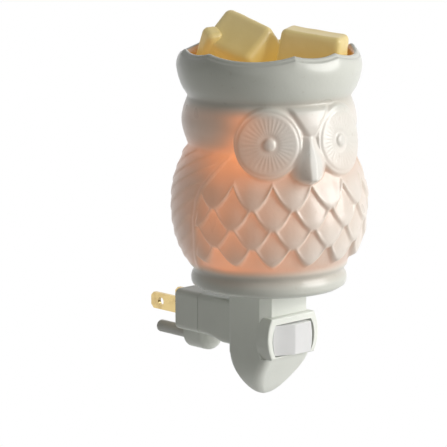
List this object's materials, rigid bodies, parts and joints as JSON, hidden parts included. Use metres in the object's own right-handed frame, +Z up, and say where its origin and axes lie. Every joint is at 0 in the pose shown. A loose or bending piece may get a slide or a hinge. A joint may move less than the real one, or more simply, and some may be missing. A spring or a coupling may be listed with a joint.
{
  "type": "plug-in wax melt warmer",
  "caption": "Glazed owl shade with a scalloped wax dish in its head, over a small lamp on a plug-in base with a rocker switch and a turning plug.",
  "frame": {"origin": "centre of the plug's rear face, level with the middle of its two blades", "axes": "+Y points into the wall along the blades, +Z up, and the switch faces -Y"},
  "size_m": [0.0745, 0.0983, 0.1459],
  "materials": {
    "glazed_shade": "glossy, thin enough to glow",
    "wax": "wax, soft sheen and slightly clear at the edges",
    "white_plastic": "satin",
    "switch_plastic": "glossy",
    "swivel_plastic": "satin",
    "holder_plastic": "matt",
    "pin_plastic": "satin",
    "brass": "bare",
    "steel": "zinc plated",
    "nickel": "nickel plated",
    "lamp_tip": "solder on a dark insulator",
    "lamp_glass": "clear",
    "filament": "glowing",
    "live_wire": "satin",
    "neutral_wire": "satin",
    "lamp_wire": "satin"
  },
  "bodies": {
    "base": {"housing_front": "white_plastic", "housing_rear": "white_plastic", "housing_screws": "steel", "seat_plate": "white_plastic", "lamp_holder": "holder_plastic", "holder_shell": "brass", "holder_contact": "brass", "lamp_cap": "nickel", "lamp_tip": "lamp_tip", "lamp_glass": "lamp_glass", "lamp_stem": "lamp_glass", "lamp_leads": "nickel", "lamp_filament": "filament", "switch_bezel": "white_plastic", "switch_frame": "holder_plastic", "switch_terminals": "brass", "plug_brushes": "brass", "live_wire": "live_wire", "neutral_wire": "neutral_wire", "lamp_wire": "lamp_wire"},
    "plug": {"plug_head": "white_plastic", "plug_blades": "brass", "plug_steady_pin": "pin_plastic", "plug_clip": "steel", "slip_rings": "brass"},
    "rocker": {"switch_rocker": "switch_plastic", "switch_plunger": "steel", "switch_spring": "steel"},
    "contact_bar": {"contact_bar": "brass"},
    "swivel": {"swivel_ring": "swivel_plastic"},
    "shade": {"owl_shade": "glazed_shade"},
    "wax": {"wax_melt_tall": "wax", "wax_melt_slab": "wax", "wax_melt_small": "wax", "wax_melt_back": "wax", "wax_melt_low_left": "wax", "wax_melt_low_right": "wax"}
  },
  "joints": [
    {"name": "plug_turn", "type": "hinge", "parent": "base", "child": "plug", "pos_m": [0, -0.0136, 0], "axis": [0, 1, 0], "range_deg": [-90, 90]},
    {"name": "switch_tip", "type": "hinge", "parent": "base", "child": "rocker", "pos_m": [0, -0.0493, -0.0047], "axis": [0, 0, 1], "range_deg": [0, 24]},
    {"name": "contact_tip", "type": "hinge", "parent": "base", "child": "contact_bar", "pos_m": [0, -0.0437, -0.0047], "axis": [0, 0, 1], "range_deg": [-14, 0]},
    {"name": "shade_turn", "type": "hinge", "parent": "base", "child": "swivel", "pos_m": [0, -0.0406, 0.016], "axis": [0, 0, 1], "continuous": true},
    {"name": "shade_lift", "type": "slide", "parent": "swivel", "child": "shade", "axis": [0, 0, 1], "range_m": [0, 0.06]},
    {"name": "wax_lift", "type": "slide", "parent": "shade", "child": "wax", "axis": [0, 0, 1], "range_m": [0, 0.03]}
  ],
  "couplings": [
    {"joint": "contact_tip", "follows": "switch_tip", "ratio": -0.5833}
  ]
}
